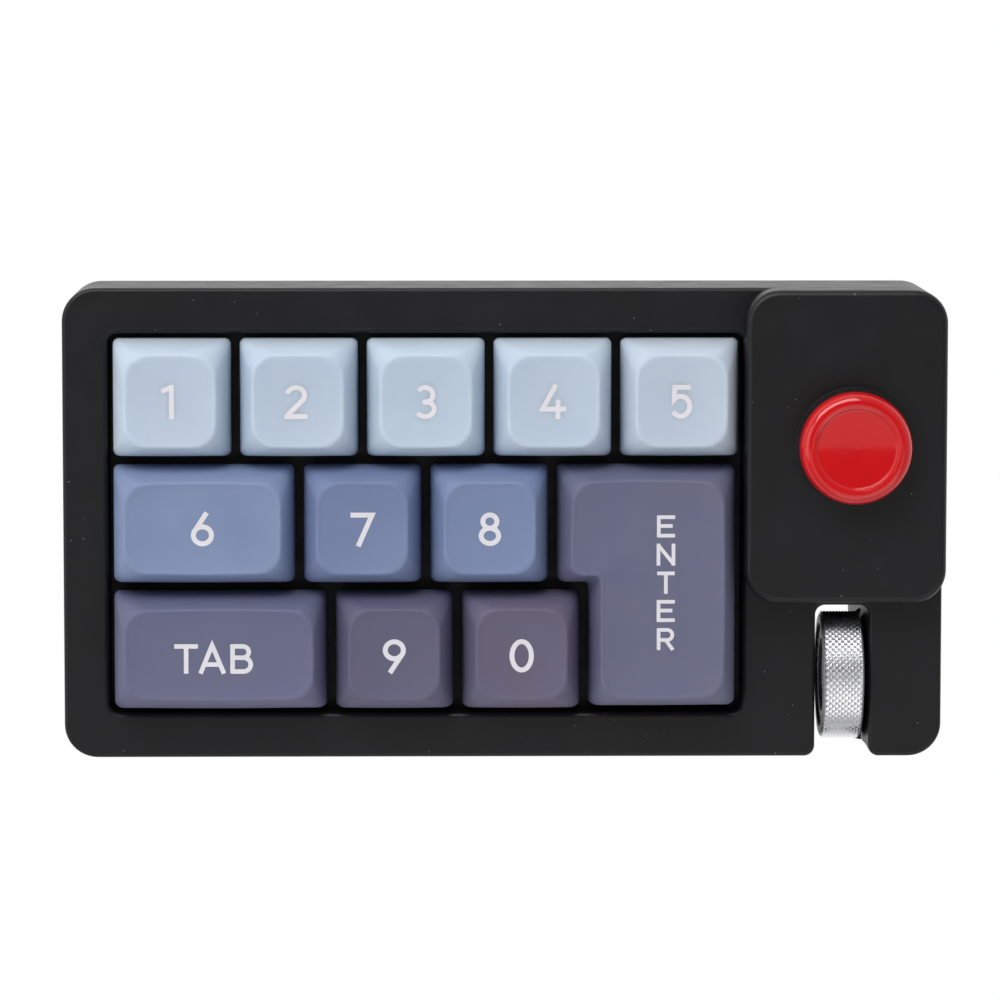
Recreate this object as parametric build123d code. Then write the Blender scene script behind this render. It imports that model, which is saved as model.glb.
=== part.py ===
from build123d import *
import math
import os

# Macro keypad: twelve keys, a thumb stick on a raised pod and a knurled wheel.
# Millimetres. X runs to the right, Y to the back, Z up. The feet stand on Z = 0.

os.makedirs("parts", exist_ok=True)

# Key grid
key_pitch = 19.05
key_columns = 5
key_rows = 3
cap_gap = 1.28
cap_height = 9.2
cap_base_radius = 1.4
cap_top_radius = 3.6
cap_top_inset = 2.1
cap_shoulder_inset = 0.55
cap_shoulder_share = 0.5
cap_wall = 1.4
cap_roof = 2.6
dish_depth = 0.75
dish_radius = 46.0
cap_lift = 6.2
key_travel = 4.0

# Case
border = 6.8
well_margin = 0.1
well_radius = 1.5
well_depth = 8.0
column_width = 30.15
board_gap = 2.9
case_radius = 5.0
case_wall = 3.0
edge_fillet = 0.6
well_edge = 0.8
floor_thickness = 2.0
boss_radius = 3.0
boss_inset_x = 5.4
boss_inset_y = 3.9

# Pod and thumb stick
pod_rise = 6.5
pod_wall = 2.0
pod_fillet = 1.0
stick_from_back = 23.2
stick_offset = 1.0
stick_tilt = 9.0
stick_cap_radius = 8.6
stick_cap_thickness = 4.0
stick_cap_rise = 6.5
stick_cap_dip_radius = 6.3
stick_cap_dip = 0.35
stick_hole_radius = 5.2
stick_box = 18.0
stick_box_wall = 1.5
stick_shaft_radius = 2.25
stick_pivot_depth = 8.5
gimbal_radius = 6.0
gimbal_thickness = 1.6
gimbal_height = 3.4
pin_radius = 1.0
hub_ball_radius = 3.6

# Wheel
wheel_radius = 9.7
wheel_width = 6.2
wheel_show = 2.3
wheel_back_room = 1.8
wheel_offset = 0.18
wheel_clearance = 0.4
wheel_ring_wall = 1.9
wheel_ring_round = 0.7
hub_dip_radius = 5.6
hub_dip = 0.4
axle_radius = 2.0
slot_width = 8.1
slot_length = 23.0
slot_setback = 1.0
block_width = 11.0
slot_back_radius = 1.5
slot_front_radius = 1.6
ledge_width = 1.6
ledge_radius = 2.0
encoder_thickness = 4.0
encoder_side = 9.0
bushing_radius = 3.5
slot_wall = 2.0

# Switches and board
plate_thickness = 1.5
plate_overlap = 3.2
board_thickness = 1.6
switch_side = 13.95
switch_flange = 15.6
switch_flange_height = 1.0
switch_depth = 5.0
switch_cover_height = 5.8
switch_cover_top = 10.8
slider_width = 7.0
slider_depth = 5.8
slider_rise = 6.5
slider_length = 6.1
slider_bore_radius = 2.3
spring_wire = 0.4
switch_floor = 1.1
cross_length = 4.1
cross_thickness = 1.2
cross_height = 3.5
post_radius = 2.8
stabiliser_reach = 11.938
stabiliser_width = 12.3
stabiliser_depth = 6.65
stabiliser_height = 7.3
stabiliser_slider = 4.6

# Fasteners, feet and socket
foot_radius = 4.0
foot_height = 1.0
foot_inset_x = 6.0
foot_inset_y = 14.0
case_screw_radius = 1.25
case_screw_head = 2.3
case_screw_head_height = 1.2
case_screw_length = 9.0
plate_screw_radius = 0.8
plate_screw_head = 1.4
plate_screw_head_height = 0.9
plate_screw_length = 4.5
pod_screw_radius = 1.0
pod_screw_head = 1.9
pod_screw_head_height = 1.2
pod_screw_length = 3.4
socket_width = 8.94
socket_height = 3.26
socket_length = 7.3
socket_shell = 0.3

# Clearances
running_gap = 0.05
slide_gap = 0.15
fit_gap = 0.02
drop_in_gap = 0.2

# Plan sizes and places
grid_width = key_columns * key_pitch
grid_depth = key_rows * key_pitch
well_width = grid_width + 2 * well_margin
well_length = grid_depth + 2 * well_margin
case_width = border + well_width + column_width
case_depth = well_length + 2 * border
right_side = case_width / 2
back_side = case_depth / 2
well_x = -right_side + border + well_width / 2
grid_left = well_x - grid_width / 2
grid_back = grid_depth / 2
column_x = right_side - column_width / 2
pod_depth = case_depth - slot_length - slot_setback
pod_y = back_side - pod_depth / 2
stick_x = column_x + stick_offset
stick_y = back_side - stick_from_back
slot_back = -back_side + slot_length
wheel_y = slot_back - wheel_back_room - wheel_radius
slot_right = right_side - block_width
slot_left = slot_right - slot_width
wheel_x = slot_right - slot_width / 2 + wheel_offset

# Heights
floor_low = foot_height
floor_top = floor_low + floor_thickness
board_low = floor_top + board_gap
board_top = board_low + board_thickness
plate_top = board_top + switch_depth
plate_low = plate_top - plate_thickness
case_top = plate_top + well_depth
cap_low = plate_top + cap_lift
slider_top = plate_top + slider_rise
slider_low = slider_top - slider_length
pod_top = case_top + pod_rise
stick_top = pod_top + stick_cap_rise
stick_cap_low = stick_top - stick_cap_thickness
pivot_z = pod_top - stick_pivot_depth
wheel_z = case_top + wheel_show - wheel_radius

# Name, centre in key units from the left, row from the back, width in key units
plain_keys = [
    ("1", 0.5, 0, 1.0),
    ("2", 1.5, 0, 1.0),
    ("3", 2.5, 0, 1.0),
    ("4", 3.5, 0, 1.0),
    ("5", 4.5, 0, 1.0),
    ("6", 0.75, 1, 1.5),
    ("7", 2.0, 1, 1.0),
    ("8", 3.0, 1, 1.0),
    ("tab", 0.875, 2, 1.75),
    ("9", 2.25, 2, 1.0),
    ("0", 3.25, 2, 1.0),
]
enter_upper_units = 1.5
enter_lower_units = 1.25


def slab(width, depth, radius, low, high, x=0.0, y=0.0):
    outline = RectangleRounded(width, depth, radius)
    return Pos(x, y, low) * extrude(outline, high - low)


def block(x_low, x_high, y_low, y_high, low, high):
    centre = Pos((x_low + x_high) / 2, (y_low + y_high) / 2, (low + high) / 2)
    return centre * Box(x_high - x_low, y_high - y_low, high - low)


def post(radius, low, high, x, y):
    return Pos(x, y, (low + high) / 2) * Cylinder(radius, high - low)


def rod_x(radius, x_low, x_high, y, z):
    return Pos((x_low + x_high) / 2, y, z) * Rot(0, 90, 0) * Cylinder(radius, x_high - x_low)


def rod_y(radius, y_low, y_high, x, z):
    return Pos(x, (y_low + y_high) / 2, z) * Rot(90, 0, 0) * Cylinder(radius, y_high - y_low)


def key_x(units):
    return grid_left + units * key_pitch


def row_y(row):
    return grid_back - (row + 0.5) * key_pitch


def cross(length, thickness, low, high, x, y):
    along = block(x - length / 2, x + length / 2, y - thickness / 2, y + thickness / 2, low, high)
    across = block(x - thickness / 2, x + thickness / 2, y - length / 2, y + length / 2, low, high)
    return along + across


# The tall key's switch stands at the middle of its lower part, half way between the rows.
enter_x = key_x(key_columns - enter_lower_units / 2)
enter_y = (row_y(1) + row_y(2)) / 2
stabiliser_places = [(enter_x, enter_y + stabiliser_reach), (enter_x, enter_y - stabiliser_reach)]
switch_places = {}
for name, units, row, width in plain_keys:
    switch_places[name] = (key_x(units), row_y(row))
switch_places["enter"] = (enter_x, enter_y)


# Keycaps: a flared skirt, a softly rounded shoulder and a dished top.
def cap_loft(outline, top_inset, shoulder_inset, base_inset, low, high):
    shoulder = low + (high - low) * cap_shoulder_share
    shoulder_radius = (cap_base_radius + cap_top_radius) / 2
    sections = [
        Pos(0, 0, low) * outline(base_inset, cap_base_radius),
        Pos(0, 0, shoulder) * outline(shoulder_inset, shoulder_radius),
        Pos(0, 0, high) * outline(top_inset, cap_top_radius),
    ]
    return loft(sections)


def rounded_plan(x_low, x_high, y_low, y_high):
    def outline(inset, radius):
        sketch = RectangleRounded(x_high - x_low - 2 * inset, y_high - y_low - 2 * inset, radius)
        return Pos((x_low + x_high) / 2, (y_low + y_high) / 2) * sketch

    return outline


def dish_ball(x, y):
    return Pos(x, y, cap_low + cap_height - dish_depth + dish_radius) * Sphere(dish_radius)


def dish_run(start, end):
    length = math.dist(start, end)
    turn = math.degrees(math.atan2(end[1] - start[1], end[0] - start[0]))
    centre_z = cap_low + cap_height - dish_depth + dish_radius
    middle = Pos((start[0] + end[0]) / 2, (start[1] + end[1]) / 2, centre_z)
    return middle * Rot(0, 0, turn) * Rot(0, 90, 0) * Cylinder(dish_radius, length)


def make_cap(outline, dishes, posts):
    roof_low = cap_low + cap_height - cap_roof
    cap = cap_loft(outline, cap_top_inset, cap_shoulder_inset, 0.0, cap_low, cap_low + cap_height)
    hollow = cap_loft(
        outline,
        cap_top_inset + cap_wall,
        cap_shoulder_inset + cap_wall,
        cap_wall,
        cap_low,
        roof_low,
    )
    cap = cap - hollow
    for dish in dishes:
        cap = cap - dish
    for x, y in posts:
        cap = cap + post(post_radius, slider_top, roof_low + cap_wall / 2, x, y)
    for x, y in posts:
        cap = cap - cross(
            cross_length + 2 * fit_gap,
            cross_thickness + 2 * fit_gap,
            slider_top,
            slider_top + cross_height + fit_gap,
            x,
            y,
        )
    return cap


nodes = {}

for name, units, row, width in plain_keys:
    x, y = switch_places[name]
    half_width = (width * key_pitch - cap_gap) / 2
    half_depth = (key_pitch - cap_gap) / 2
    plan = rounded_plan(x - half_width, x + half_width, y - half_depth, y + half_depth)
    reach = (width - 1.0) * key_pitch / 2
    if reach > 0:
        dishes = [dish_ball(x - reach, y), dish_ball(x + reach, y), dish_run((x - reach, y), (x + reach, y))]
    else:
        dishes = [dish_ball(x, y)]
    nodes["keycap_" + name] = make_cap(plan, dishes, [(x, y)])

# The tall key: a wide part in the middle row over a narrower part that runs through two rows.
enter_right = key_x(key_columns) - cap_gap / 2
enter_back = row_y(1) + key_pitch / 2 - cap_gap / 2
enter_step = row_y(1) - key_pitch / 2 + cap_gap / 2
enter_front = row_y(2) - key_pitch / 2 + cap_gap / 2
enter_upper_left = key_x(key_columns - enter_upper_units) + cap_gap / 2
enter_lower_left = key_x(key_columns - enter_lower_units) + cap_gap / 2


def enter_plan(inset, radius):
    upper_left = enter_upper_left + inset
    lower_left = enter_lower_left + inset
    corners = [
        (enter_right - inset, enter_front + inset),
        (enter_right - inset, enter_back - inset),
        (upper_left, enter_back - inset),
        (upper_left, enter_step + inset),
        (lower_left, enter_step + inset),
        (lower_left, enter_front + inset),
    ]
    face = make_face(Polyline(*corners, close=True))
    tip = face.vertices().filter_by(
        lambda v: abs(v.X - upper_left) < 0.01 and abs(v.Y - enter_step - inset) < 0.01
    )
    face = fillet(tip, cap_base_radius)
    outer = face.vertices().filter_by(
        lambda v: abs(v.Y - enter_back + inset) < 0.01 or abs(v.Y - enter_front - inset) < 0.01
    )
    return fillet(outer, radius)


enter_upper_x = key_x(key_columns - enter_upper_units + 0.5)
enter_right_x = key_x(key_columns - 0.5)
enter_dishes = [
    dish_ball(enter_upper_x, row_y(1)),
    dish_ball(enter_right_x, row_y(1)),
    dish_run((enter_upper_x, row_y(1)), (enter_right_x, row_y(1))),
    dish_ball(enter_x, row_y(2)),
    dish_run((enter_x, row_y(2)), (enter_x, row_y(1) - cap_gap)),
]
nodes["keycap_enter"] = make_cap(enter_plan, enter_dishes, [(enter_x, enter_y)] + stabiliser_places)


# Switches: a lower housing through the plate, a tapered cover, a hollow slider and its spring.
# The springs are out of sight, so each is a plain sleeve of the coil's size.
chute_width = slider_width + 2 * slide_gap
chute_depth = slider_depth + 2 * slide_gap
flange_top = plate_top + switch_flange_height
cover_top = plate_top + switch_cover_height
spring_low = board_top + switch_floor
slider_roof = slider_top - switch_floor


def chute(low, high, x, y):
    return block(x - chute_width / 2, x + chute_width / 2, y - chute_depth / 2, y + chute_depth / 2, low, high)


def lower_housing(x, y):
    half = switch_side / 2
    flange = switch_flange / 2
    body = block(x - half, x + half, y - half, y + half, board_top, plate_top)
    body = body + block(x - flange, x + flange, y - flange, y + flange, plate_top, flange_top)
    return body - chute(spring_low, flange_top, x, y)


def upper_housing(x, y):
    foot = Pos(x, y, flange_top) * RectangleRounded(switch_side, switch_side, 0.6)
    crown = Pos(x, y, cover_top) * RectangleRounded(switch_cover_top, switch_cover_top, 0.6)
    return loft([foot, crown]) - chute(flange_top, cover_top, x, y)


def slider(x, y):
    half_width = slider_width / 2
    half_depth = slider_depth / 2
    body = block(x - half_width, x + half_width, y - half_depth, y + half_depth, slider_low, slider_top)
    body = body - post(slider_bore_radius, slider_low, slider_roof, x, y)
    return body + cross(cross_length, cross_thickness, slider_top, slider_top + cross_height, x, y)


spring_high = slider_roof
spring_outer = slider_bore_radius - drop_in_gap


def spring(x, y):
    sleeve = post(spring_outer, spring_low, spring_high, x, y)
    return sleeve - post(spring_outer - spring_wire, spring_low, spring_high, x, y)


lower_parts = []
upper_parts = []
for name, place in switch_places.items():
    lower_parts.append(lower_housing(*place))
    upper_parts.append(upper_housing(*place))
    nodes["switch_stem_" + name] = slider(*place)
    nodes["switch_spring_" + name] = spring(*place)
nodes["switch_lower_housings"] = Compound(lower_parts)
nodes["switch_upper_housings"] = Compound(upper_parts)

# Stabilisers: guides at both ends of the tall key.
stabiliser_top = board_top + stabiliser_height
stabiliser_half = stabiliser_slider / 2
stabiliser_gap = stabiliser_half + slide_gap
stabiliser_low = board_top + switch_floor
guides = []
guide_stems = []
for x, y in stabiliser_places:
    guide = block(
        x - stabiliser_width / 2,
        x + stabiliser_width / 2,
        y - stabiliser_depth / 2,
        y + stabiliser_depth / 2,
        board_top,
        stabiliser_top,
    )
    guides.append(
        guide
        - block(
            x - stabiliser_gap,
            x + stabiliser_gap,
            y - stabiliser_gap,
            y + stabiliser_gap,
            stabiliser_low,
            stabiliser_top,
        )
    )
    stem = block(
        x - stabiliser_half,
        x + stabiliser_half,
        y - stabiliser_half,
        y + stabiliser_half,
        slider_low,
        slider_top,
    )
    guide_stems.append(stem + cross(cross_length, cross_thickness, slider_top, slider_top + cross_height, x, y))
nodes["stabiliser_housings"] = Compound(guides)
nodes["stabiliser_stems"] = Compound(guide_stems)

# Corner bosses carry the case screws, and the plate and board are notched round them.
boss_places = [
    (-right_side + boss_inset_x, back_side - boss_inset_y),
    (-right_side + boss_inset_x, -back_side + boss_inset_y),
    (right_side - boss_inset_x, back_side - boss_inset_y),
    (right_side - boss_inset_x, -back_side + boss_inset_y),
]


def notched(sheet, low, high):
    for x, y in boss_places:
        sheet = sheet - post(boss_radius + drop_in_gap, low, high, x, y)
    return sheet


plate_width = well_width + 2 * plate_overlap
plate_depth = well_length + 2 * plate_overlap
plate_screw_reach = plate_overlap / 2
plate_screw_places = [
    (well_x - well_width / 2 - plate_screw_reach, 0.0),
    (well_x + well_width / 2 + plate_screw_reach, 0.0),
    (well_x - key_pitch, well_length / 2 + plate_screw_reach),
    (well_x + key_pitch, well_length / 2 + plate_screw_reach),
    (well_x - key_pitch, -well_length / 2 - plate_screw_reach),
    (well_x + key_pitch, -well_length / 2 - plate_screw_reach),
]
plate = slab(plate_width, plate_depth, well_radius, plate_low, plate_top, well_x)
plate = notched(plate, plate_low, plate_top)
cutout_half = switch_side / 2 + fit_gap
for x, y in switch_places.values():
    plate = plate - block(x - cutout_half, x + cutout_half, y - cutout_half, y + cutout_half, plate_low, plate_top)
for x, y in stabiliser_places:
    plate = plate - block(
        x - stabiliser_width / 2 - fit_gap,
        x + stabiliser_width / 2 + fit_gap,
        y - stabiliser_depth / 2 - fit_gap,
        y + stabiliser_depth / 2 + fit_gap,
        plate_low,
        plate_top,
    )
for x, y in plate_screw_places:
    plate = plate - post(plate_screw_radius + running_gap, plate_low, plate_top, x, y)
nodes["switch_plate"] = plate

board = slab(plate_width, plate_depth, well_radius, board_low, board_top, well_x)
nodes["main_pcb"] = notched(board, board_low, board_top)

plate_screws = []
for x, y in plate_screw_places:
    shank = post(plate_screw_radius, plate_low, plate_low + plate_screw_length, x, y)
    head = post(plate_screw_head, plate_low - plate_screw_head_height, plate_low, x, y)
    plate_screws.append(shank + head)
nodes["plate_screws"] = Compound(plate_screws)

# USB socket: a thin metal shell on the board, just inside the left wall.
socket_left = -right_side + drop_in_gap
socket_right = socket_left + socket_length
socket_y = row_y(0)
socket_middle = board_top + socket_height / 2


def socket_solid(width, height, left, right):
    outline = Plane.YZ * RectangleRounded(width, height, height * 0.38)
    return Pos(left, socket_y, socket_middle) * extrude(outline, right - left)


shell = socket_solid(socket_width, socket_height, socket_left, socket_right)
throat = socket_solid(
    socket_width - 2 * socket_shell,
    socket_height - 2 * socket_shell,
    socket_left,
    socket_right - cap_wall,
)
tongue = block(
    socket_left + cap_wall,
    socket_right - cap_wall / 2,
    socket_y - socket_width * 0.37,
    socket_y + socket_width * 0.37,
    socket_middle - socket_shell,
    socket_middle + socket_shell,
)
nodes["usb_socket"] = shell - throat + tongue

# Top case: a deep frame with the key well, the wheel slot and a hollow for the works.


def case_outline(slot_edge, lip_radius):
    outline = RectangleRounded(case_width, case_depth, case_radius)
    slot_middle = (slot_back - back_side) / 2
    slot = Pos((slot_left + slot_edge) / 2, slot_middle) * Rectangle(slot_edge - slot_left, slot_length)
    outline = outline - slot
    inner = outline.vertices().filter_by(lambda v: abs(v.Y - slot_back) < 0.01)
    outline = fillet(inner, slot_back_radius)
    left_lip = outline.vertices().filter_by(
        lambda v: abs(v.Y + back_side) < 0.01 and abs(v.X - slot_left) < 0.01
    )
    outline = fillet(left_lip, slot_front_radius)
    right_lip = outline.vertices().filter_by(
        lambda v: abs(v.Y + back_side) < 0.01 and abs(v.X - slot_edge) < 0.01
    )
    return fillet(right_lip, lip_radius)


top_case = Pos(0, 0, floor_top) * extrude(case_outline(slot_right, slot_front_radius), case_top - floor_top)
rim = top_case.faces().sort_by(Axis.Z)[-1].edges()
top_case = fillet(rim, edge_fillet)

# The slot's right wall leans out to a ledge below, with a round relief for the wheel.
ledge_edge = slot_right - ledge_width
wheel_low = wheel_x - wheel_width / 2
wheel_high = wheel_x + wheel_width / 2
lean = make_face(
    Plane.XZ
    * Polyline(
        (slot_right, case_top - edge_fillet),
        (slot_right, floor_top),
        (ledge_edge, floor_top),
        close=True,
    )
)
leaning_wall = Pos(0, slot_back, 0) * extrude(lean, slot_length - slot_front_radius, dir=(0, -1, 0))
leaning_wall = leaning_wall - rod_x(
    wheel_radius + wheel_clearance, ledge_edge, wheel_high + wheel_clearance, wheel_y, wheel_z
)
top_case = top_case + leaning_wall

well = slab(well_width, well_length, well_radius, plate_top, case_top, well_x)
top_case = top_case - well
well_rim = top_case.faces().sort_by(Axis.Z)[-1].inner_wires().edges()
top_case = fillet(well_rim, well_edge)

hollow_left = -right_side + case_wall
hollow_right = well_x + plate_width / 2 + drop_in_gap
hollow_back = back_side - case_wall
hollow = block(hollow_left, hollow_right, -hollow_back, hollow_back, floor_top, plate_top)
column_low = slot_back + slot_wall
column_roof = case_top - case_wall
column_hollow = block(hollow_right, right_side - case_wall, column_low, hollow_back, floor_top, column_roof)
encoder_left = slot_right + slot_wall
encoder_right = encoder_left + encoder_thickness
pocket_half = encoder_side / 2 + drop_in_gap
encoder_pocket = block(
    encoder_left,
    encoder_right + drop_in_gap,
    wheel_y - pocket_half,
    wheel_y + pocket_half,
    floor_top,
    wheel_z + pocket_half,
)
stick_window = stick_box + 2 * drop_in_gap
stick_room = block(
    stick_x - stick_window / 2,
    stick_x + stick_window / 2,
    stick_y - stick_window / 2,
    stick_y + stick_window / 2,
    floor_top,
    column_roof,
)
works = hollow + column_hollow + stick_room + encoder_pocket
for x, y in boss_places:
    works = works - post(boss_radius, floor_top, case_top, x, y)
top_case = top_case - works

top_case = top_case - slab(stick_window, stick_window, 0.5, column_roof, case_top, stick_x, stick_y)
top_case = top_case - rod_x(bushing_radius + fit_gap, ledge_edge, encoder_left, wheel_y, wheel_z)
for x, y in boss_places:
    top_case = top_case - post(case_screw_radius + fit_gap, floor_top, floor_low + case_screw_length, x, y)
for x, y in plate_screw_places:
    top_case = top_case - post(plate_screw_radius + fit_gap, plate_top, plate_low + plate_screw_length, x, y)
top_case = top_case - socket_solid(
    socket_width + 2 * drop_in_gap,
    socket_height + 2 * drop_in_gap,
    -right_side,
    hollow_left,
)

# Pod: a raised cover over the thumb stick, screwed down from inside the case.
pod_screw_room = pod_screw_head + drop_in_gap
pod_screw_places = [
    (hollow_right + pod_screw_room, hollow_back - pod_screw_room),
    (right_side - case_wall - pod_screw_room, back_side - pod_depth + case_wall + pod_screw_room),
]
pod = slab(column_width, pod_depth, case_radius, case_top, pod_top, column_x, pod_y)
pod = fillet(pod.faces().sort_by(Axis.Z)[-1].edges(), pod_fillet)
pod = pod - slab(
    column_width - 2 * pod_wall,
    pod_depth - 2 * pod_wall,
    case_radius - pod_wall,
    case_top,
    pod_top - pod_wall,
    column_x,
    pod_y,
)
pod = pod - post(stick_hole_radius, pod_top - pod_wall, pod_top, stick_x, stick_y)
pod_screw_low = column_roof
pod_screw_high = pod_screw_low + case_wall + pod_screw_length
pod_screws = []
for x, y in pod_screw_places:
    pod = pod + post(pod_screw_head + fit_gap, case_top, pod_top - pod_wall, x, y)
    pod = pod - post(pod_screw_radius + fit_gap, case_top, pod_screw_high, x, y)
    top_case = top_case - post(pod_screw_radius + running_gap, column_roof, case_top, x, y)
    shank = post(pod_screw_radius, pod_screw_low, pod_screw_high, x, y)
    pod_screws.append(shank + post(pod_screw_head, pod_screw_low - pod_screw_head_height, pod_screw_low, x, y))
nodes["stick_pod"] = pod
nodes["top_case"] = top_case
nodes["pod_screws"] = Compound(pod_screws)

# Thumb stick: a box on its own board, a ring that tips front to back and a shaft that tips sideways.
box_half = stick_box / 2
box_roof = pivot_z + gimbal_height + stick_box_wall
box_low = pivot_z - hub_ball_radius - gimbal_height
stick_board_low = box_low - board_thickness
box_inner = stick_box - 2 * stick_box_wall
stick_housing = slab(stick_box, stick_box, 0.8, box_low, box_roof, stick_x, stick_y)
stick_housing = stick_housing - slab(
    box_inner,
    box_inner,
    0.5,
    box_low + stick_box_wall,
    box_roof - stick_box_wall,
    stick_x,
    stick_y,
)
stick_housing = stick_housing - post(stick_hole_radius, box_roof - stick_box_wall, box_roof, stick_x, stick_y)
stick_housing = stick_housing - rod_x(
    pin_radius + running_gap, stick_x - box_half, stick_x + box_half, stick_y, pivot_z
)
nodes["stick_housing"] = stick_housing
board_left = hollow_right + drop_in_gap
board_right = right_side - case_wall - drop_in_gap
board_half = box_half + case_screw_head
nodes["stick_board"] = block(
    board_left, board_right, stick_y - board_half, stick_y + board_half, stick_board_low, box_low
)

gimbal_low = pivot_z - gimbal_height / 2
gimbal_high = pivot_z + gimbal_height / 2
pin_end = box_half - stick_box_wall / 4
gimbal = post(gimbal_radius, gimbal_low, gimbal_high, stick_x, stick_y)
gimbal = gimbal + rod_x(pin_radius, stick_x - pin_end, stick_x + pin_end, stick_y, pivot_z)
gimbal_bore = gimbal_radius - gimbal_thickness
gimbal = gimbal - post(gimbal_bore, gimbal_low, gimbal_high, stick_x, stick_y)
gimbal = gimbal - rod_y(
    pin_radius + running_gap, stick_y - gimbal_radius, stick_y + gimbal_radius, stick_x, pivot_z
)
nodes["stick_gimbal"] = gimbal

cap_socket_roof = stick_top - stick_cap_thickness / 2 + stick_cap_dip
cross_pin_end = gimbal_radius - gimbal_thickness / 4
stick_stem = Pos(stick_x, stick_y, pivot_z) * Sphere(hub_ball_radius)
stick_stem = stick_stem + rod_y(pin_radius, stick_y - cross_pin_end, stick_y + cross_pin_end, stick_x, pivot_z)
nodes["stick_stem"] = stick_stem + post(stick_shaft_radius, pivot_z, cap_socket_roof, stick_x, stick_y)

# The red cap: a rounded rim round a shallow flat dip.
stick_cap = post(stick_cap_radius, stick_cap_low, stick_top, stick_x, stick_y)
stick_cap = fillet(stick_cap.faces().sort_by(Axis.Z)[-1].edges(), stick_cap_thickness * 0.35)
stick_cap = fillet(stick_cap.faces().sort_by(Axis.Z)[0].edges(), stick_cap_thickness * 0.15)
stick_cap = stick_cap - post(stick_cap_dip_radius, stick_top - stick_cap_dip, stick_top, stick_x, stick_y)
stick_cap = stick_cap - post(
    stick_shaft_radius + fit_gap, stick_cap_low, cap_socket_roof, stick_x, stick_y
)
nodes["stick_cap"] = stick_cap

# Wheel: a knurled metal ring on a glossy hub, carried at its right by the encoder's axle.
hub_radius = wheel_radius - wheel_ring_wall
hub_inset = wheel_ring_round / 2
hub_low = wheel_low + hub_inset
ring = rod_x(wheel_radius, wheel_low, wheel_high, wheel_y, wheel_z)
ring = fillet(ring.edges(), wheel_ring_round)
nodes["wheel_ring"] = ring - rod_x(hub_radius + fit_gap, wheel_low, wheel_high, wheel_y, wheel_z)
axle_left = hub_low + 2 * hub_dip
hub = rod_x(hub_radius, hub_low, wheel_high - hub_inset, wheel_y, wheel_z)
hub = hub - rod_x(hub_dip_radius, hub_low, hub_low + hub_dip, wheel_y, wheel_z)
nodes["wheel_hub"] = hub - rod_x(axle_radius + fit_gap, axle_left, wheel_high, wheel_y, wheel_z)
axle_right = encoder_left + encoder_thickness / 2
nodes["wheel_axle"] = rod_x(axle_radius, axle_left, axle_right, wheel_y, wheel_z)

encoder_half = encoder_side / 2
encoder = block(
    encoder_left,
    encoder_right,
    wheel_y - encoder_half,
    wheel_y + encoder_half,
    wheel_z - encoder_half,
    wheel_z + encoder_half,
)
encoder = encoder + rod_x(bushing_radius, slot_right, encoder_left, wheel_y, wheel_z)
nodes["encoder_body"] = encoder - rod_x(
    axle_radius + running_gap, slot_right, axle_right + drop_in_gap, wheel_y, wheel_z
)

# Bottom case: a floor plate with pillars under the stick's board. A ledge of it reaches under the wheel.
bottom_case = Pos(0, 0, floor_low) * extrude(case_outline(ledge_edge, ledge_radius), floor_thickness)
bottom_case = fillet(bottom_case.faces().sort_by(Axis.Z)[0].edges(), edge_fillet)
pillar_inset = case_screw_head
for x in (board_left + pillar_inset, board_right - pillar_inset):
    for y in (stick_y - box_half, stick_y + box_half):
        bottom_case = bottom_case + post(case_screw_head, floor_top, stick_board_low, x, y)
screw_head_top = floor_low + case_screw_head_height
case_screws = []
for x, y in boss_places:
    bottom_case = bottom_case - post(case_screw_head + running_gap, floor_low, screw_head_top, x, y)
    bottom_case = bottom_case - post(case_screw_radius + running_gap, floor_low, floor_top, x, y)
    shank = post(case_screw_radius, screw_head_top, floor_low + case_screw_length, x, y)
    case_screws.append(shank + post(case_screw_head, floor_low, screw_head_top, x, y))
nodes["bottom_case"] = bottom_case
nodes["case_screws"] = Compound(case_screws)

feet = []
for x_side in (-1, 1):
    for y_side in (-1, 1):
        x = x_side * (right_side - foot_inset_x)
        y = y_side * (back_side - foot_inset_y)
        foot = post(foot_radius, 0, foot_height, x, y)
        feet.append(fillet(foot.faces().sort_by(Axis.Z)[0].edges(), foot_height * 0.3))
nodes["rubber_feet"] = Compound(feet)

for name, shape in nodes.items():
    export_step(shape, "parts/" + name + ".step")
print(len(nodes), "nodes")
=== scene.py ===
import math
import bpy
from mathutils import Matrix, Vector
from mathutils.geometry import delaunay_2d_cdt


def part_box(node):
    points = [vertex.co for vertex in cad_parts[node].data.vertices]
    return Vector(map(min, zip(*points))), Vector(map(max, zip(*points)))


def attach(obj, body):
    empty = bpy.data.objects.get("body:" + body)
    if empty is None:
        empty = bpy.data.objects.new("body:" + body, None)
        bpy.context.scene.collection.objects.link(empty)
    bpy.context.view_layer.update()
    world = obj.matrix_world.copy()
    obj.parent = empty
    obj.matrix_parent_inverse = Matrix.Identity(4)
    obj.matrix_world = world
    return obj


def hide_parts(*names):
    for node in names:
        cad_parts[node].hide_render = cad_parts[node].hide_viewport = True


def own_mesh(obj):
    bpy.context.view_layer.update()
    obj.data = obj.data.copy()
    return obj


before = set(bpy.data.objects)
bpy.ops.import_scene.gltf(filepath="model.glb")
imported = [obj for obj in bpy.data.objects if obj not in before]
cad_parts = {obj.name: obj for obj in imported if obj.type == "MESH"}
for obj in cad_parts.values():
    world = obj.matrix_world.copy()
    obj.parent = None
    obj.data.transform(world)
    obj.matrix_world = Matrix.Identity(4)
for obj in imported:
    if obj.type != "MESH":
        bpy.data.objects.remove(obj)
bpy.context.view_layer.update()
mm = 0.001
print("frame loaded")


# Colour and node helpers


def srgb(hexColour):
    channels = []
    for start in (1, 3, 5):
        value = int(hexColour[start:start + 2], 16) / 255
        if value <= 0.04045:
            channels.append(value / 12.92)
        else:
            channels.append(((value + 0.055) / 1.055) ** 2.4)
    return (*channels, 1.0)


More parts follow.
